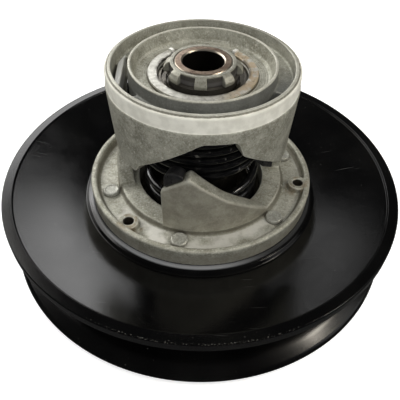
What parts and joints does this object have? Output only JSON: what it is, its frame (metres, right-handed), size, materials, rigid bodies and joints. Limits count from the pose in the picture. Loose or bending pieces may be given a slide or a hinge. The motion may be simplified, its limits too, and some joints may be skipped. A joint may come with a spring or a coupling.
{
  "type": "belt drive driven pulley",
  "caption": "Driven pulley of a variable belt drive: black conical sheaves, a cast torque-cam flange and cap, a black coil spring and a hollow centre post.",
  "frame": {"origin": "on the shaft bore's axis, at the plane of the rear hub's end face", "axes": "+Z along the shaft bore from the rear hub to the cam cap; -Y towards the side with the front cam lobe, whose peak is 6.6 degrees to its left"},
  "size_m": [0.2546, 0.2546, 0.1242],
  "materials": {
    "black_paint": "semi-gloss black paint",
    "cast_aluminium": "as cast, slightly stained",
    "steel": "machined",
    "rivet_steel": "plain, dulled",
    "brown_steel": "turned, with a brown tint",
    "dark_steel": "oiled, dark",
    "bright_steel": "bright with brown tints",
    "bronze": "turned, browned",
    "spring_black": "gloss black",
    "black_nylon": "matte"
  },
  "bodies": {
    "fixed_half": {"fixed_sheave": "black_paint", "rear_hub": "steel", "rear_rivet_1": "rivet_steel", "rear_rivet_2": "rivet_steel", "rear_rivet_3": "rivet_steel", "rear_rivet_4": "rivet_steel", "rear_rivet_5": "rivet_steel", "rear_rivet_6": "rivet_steel", "centre_post": "brown_steel", "spanner_nut": "steel", "hub_insert": "dark_steel", "retaining_ring": "bright_steel", "outer_cam_cap": "cast_aluminium", "cap_button_1": "black_nylon", "cap_button_2": "black_nylon", "cap_button_3": "black_nylon", "spring_top_seat": "dark_steel", "spring": "spring_black"},
    "spring_foot": {"spring_seat": "dark_steel"},
    "movable_half": {"movable_sheave": "black_paint", "cam_flange": "cast_aluminium", "cam_rivet_1": "rivet_steel", "cam_rivet_2": "rivet_steel", "cam_rivet_3": "rivet_steel", "cam_rivet_4": "rivet_steel", "cam_rivet_5": "rivet_steel", "cam_rivet_6": "rivet_steel", "cam_button_1": "black_nylon", "cam_button_2": "black_nylon", "cam_button_3": "black_nylon", "hub_tube": "dark_steel", "slide_bush_lower": "bronze", "slide_bush_upper": "bronze"}
  },
  "joints": [
    {"name": "sheave_slide", "type": "slide", "parent": "fixed_half", "child": "spring_foot", "axis": [0, 0, 1], "range_m": [0, 0.02], "deforming": ["spring"]},
    {"name": "cam_twist", "type": "hinge", "parent": "spring_foot", "child": "movable_half", "pos_m": [0, 0, 0.04], "axis": [0, 0, 1], "range_deg": [0, 15.5]}
  ],
  "couplings": [
    {"joint": "cam_twist", "follows": "sheave_slide", "rad_per_m": 13.5}
  ]
}
